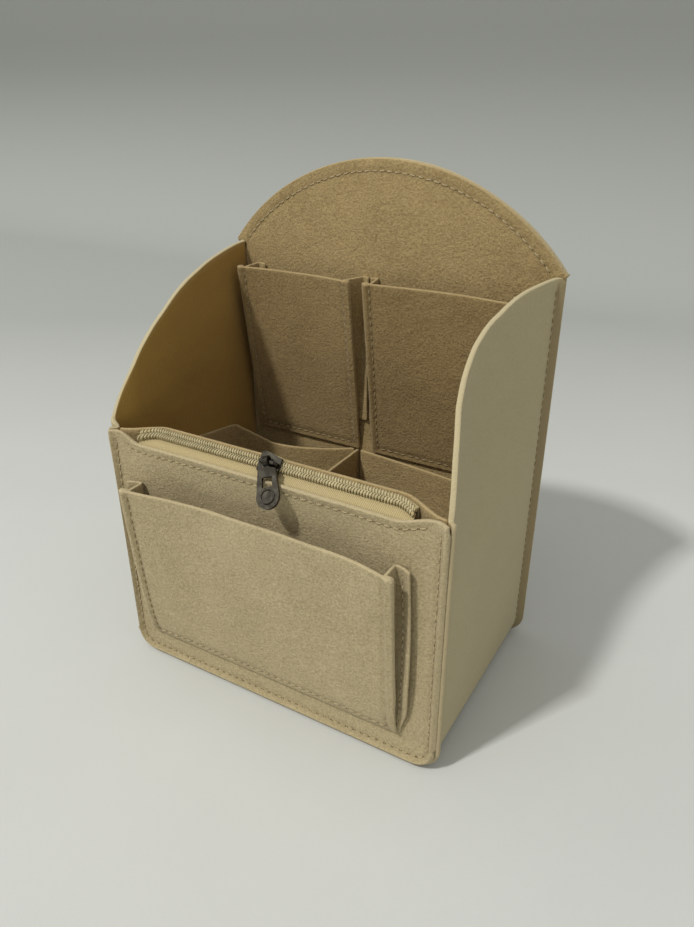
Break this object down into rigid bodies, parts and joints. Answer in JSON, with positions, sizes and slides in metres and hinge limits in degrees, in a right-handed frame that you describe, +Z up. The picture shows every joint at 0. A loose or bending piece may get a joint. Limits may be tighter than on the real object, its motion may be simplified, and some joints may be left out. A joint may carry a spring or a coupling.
{
  "type": "backpack organizer insert",
  "caption": "Sewn felt organizer box with an arched back, sloping side walls, a zip pocket and gusseted slip pocket in front, inner slip pockets, low pockets and a divider.",
  "frame": {"origin": "on the floor, under the middle of the whole part's box", "axes": "+X to the viewer's right, +Y from the front pocket to the arched back, +Z up"},
  "size_m": [0.1572, 0.1116, 0.2125],
  "materials": {
    "felt": "matte felt, fine grain",
    "felt_smooth": "pressed smooth felt",
    "zip_tape": "woven tape",
    "zip_coil": "nylon coil",
    "zip_metal": "gunmetal"
  },
  "bodies": {
    "shell": {"side_base_strip": "felt_smooth", "back_inner_panel": "felt", "back_outer_panel": "felt", "front_outer_panel": "felt", "front_inner_panel": "felt", "zip_tape_front": "zip_tape", "zip_tape_rear": "zip_tape", "zip_coil_front": "zip_coil", "zip_coil_rear": "zip_coil", "front_pocket_gusset_left": "felt", "front_pocket_gusset_right": "felt", "back_pocket_left_gusset": "felt", "back_pocket_left_pleat": "felt", "back_pocket_right_pleat": "felt", "back_pocket_right_gusset": "felt", "lower_pocket_left": "felt", "lower_pocket_right": "felt", "centre_divider": "felt"},
    "slider": {"zip_slider": "zip_metal"},
    "pull": {"zip_pull": "zip_metal"},
    "front_pocket": {"front_pocket_face": "felt"},
    "back_pocket_left": {"back_pocket_left_face": "felt"},
    "back_pocket_right": {"back_pocket_right_face": "felt"}
  },
  "joints": [
    {"name": "zip_slide", "type": "slide", "parent": "shell", "child": "slider", "axis": [1, 0, 0], "range_m": [-0.05, 0.046], "deforming": ["zip_tape_front", "zip_tape_rear", "zip_coil_front", "zip_coil_rear"]},
    {"name": "pull_swing", "type": "hinge", "parent": "slider", "child": "pull", "pos_m": [0, -0.0403, 0.11496], "axis": [-1, 0, 0], "range_deg": [0, 198]},
    {"name": "front_pocket_press", "type": "hinge", "parent": "shell", "child": "front_pocket", "pos_m": [0, -0.04553, 0.014], "axis": [-1, 0, 0], "range_deg": [0, 3], "stiffness_Nm_per_rad": 0.3, "deforming": ["front_pocket_gusset_left", "front_pocket_gusset_right"]},
    {"name": "back_pocket_left_press", "type": "hinge", "parent": "shell", "child": "back_pocket_left", "pos_m": [-0.04, 0.04958, 0.0805], "axis": [-1, 0, 0], "range_deg": [0, 5.7], "stiffness_Nm_per_rad": 0.3, "deforming": ["back_pocket_left_gusset", "back_pocket_left_pleat"]},
    {"name": "back_pocket_right_press", "type": "hinge", "parent": "shell", "child": "back_pocket_right", "pos_m": [0.0315, 0.04958, 0.0805], "axis": [-1, 0, 0], "range_deg": [0, 5.7], "stiffness_Nm_per_rad": 0.3, "deforming": ["back_pocket_right_pleat", "back_pocket_right_gusset"]}
  ]
}
